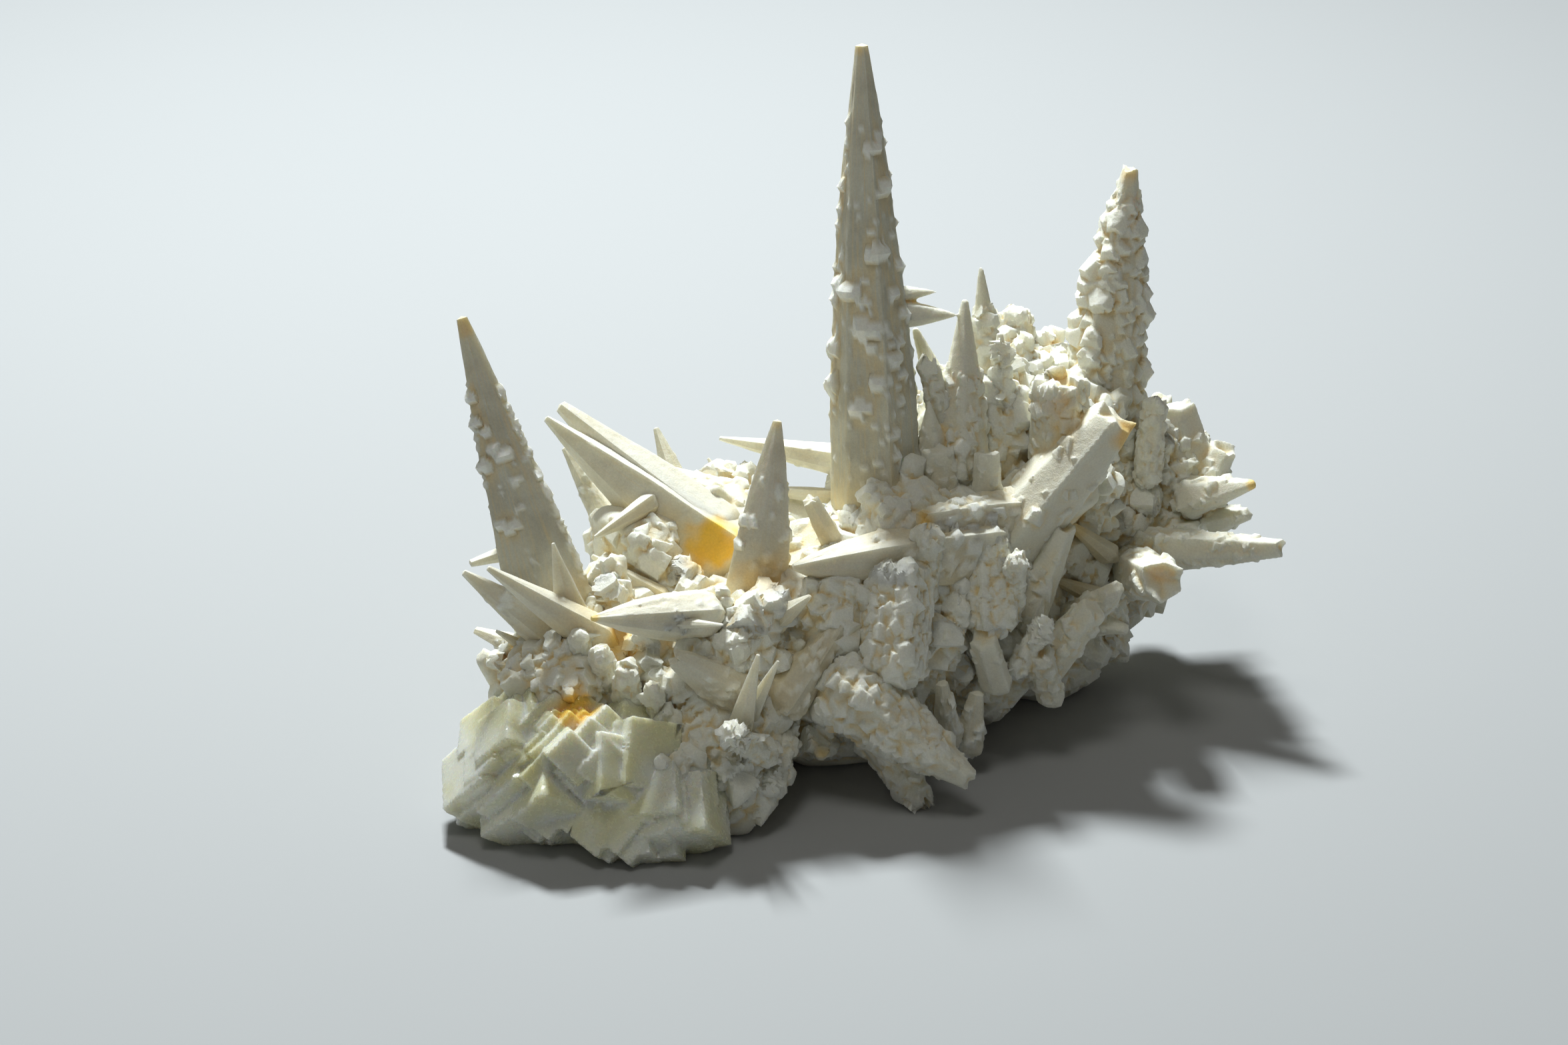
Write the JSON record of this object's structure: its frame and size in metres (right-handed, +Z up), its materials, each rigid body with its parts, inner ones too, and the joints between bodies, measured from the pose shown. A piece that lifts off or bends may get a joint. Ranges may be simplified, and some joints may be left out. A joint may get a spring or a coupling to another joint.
{
  "type": "calcite crystal cluster",
  "caption": "Free-standing mineral specimen: tall tapered dogtooth calcite crystals and small blocky crystals grown together on a broken matrix, with a flat resting base",
  "frame": {"origin": "the middle of the specimen's box, on the surface that it rests on", "axes": "+X runs along the specimen's longest side, to the right as seen from its front; +Y runs to its back; +Z is up"},
  "size_m": [0.1978, 0.1485, 0.1658],
  "materials": {
    "calcite": "matte, finely frosted cream calcite, warmer in the crevices, pale yellow and translucent where broken"
  },
  "bodies": {
    "root": {"calcite_cluster": "calcite"}
  },
  "joints": []
}
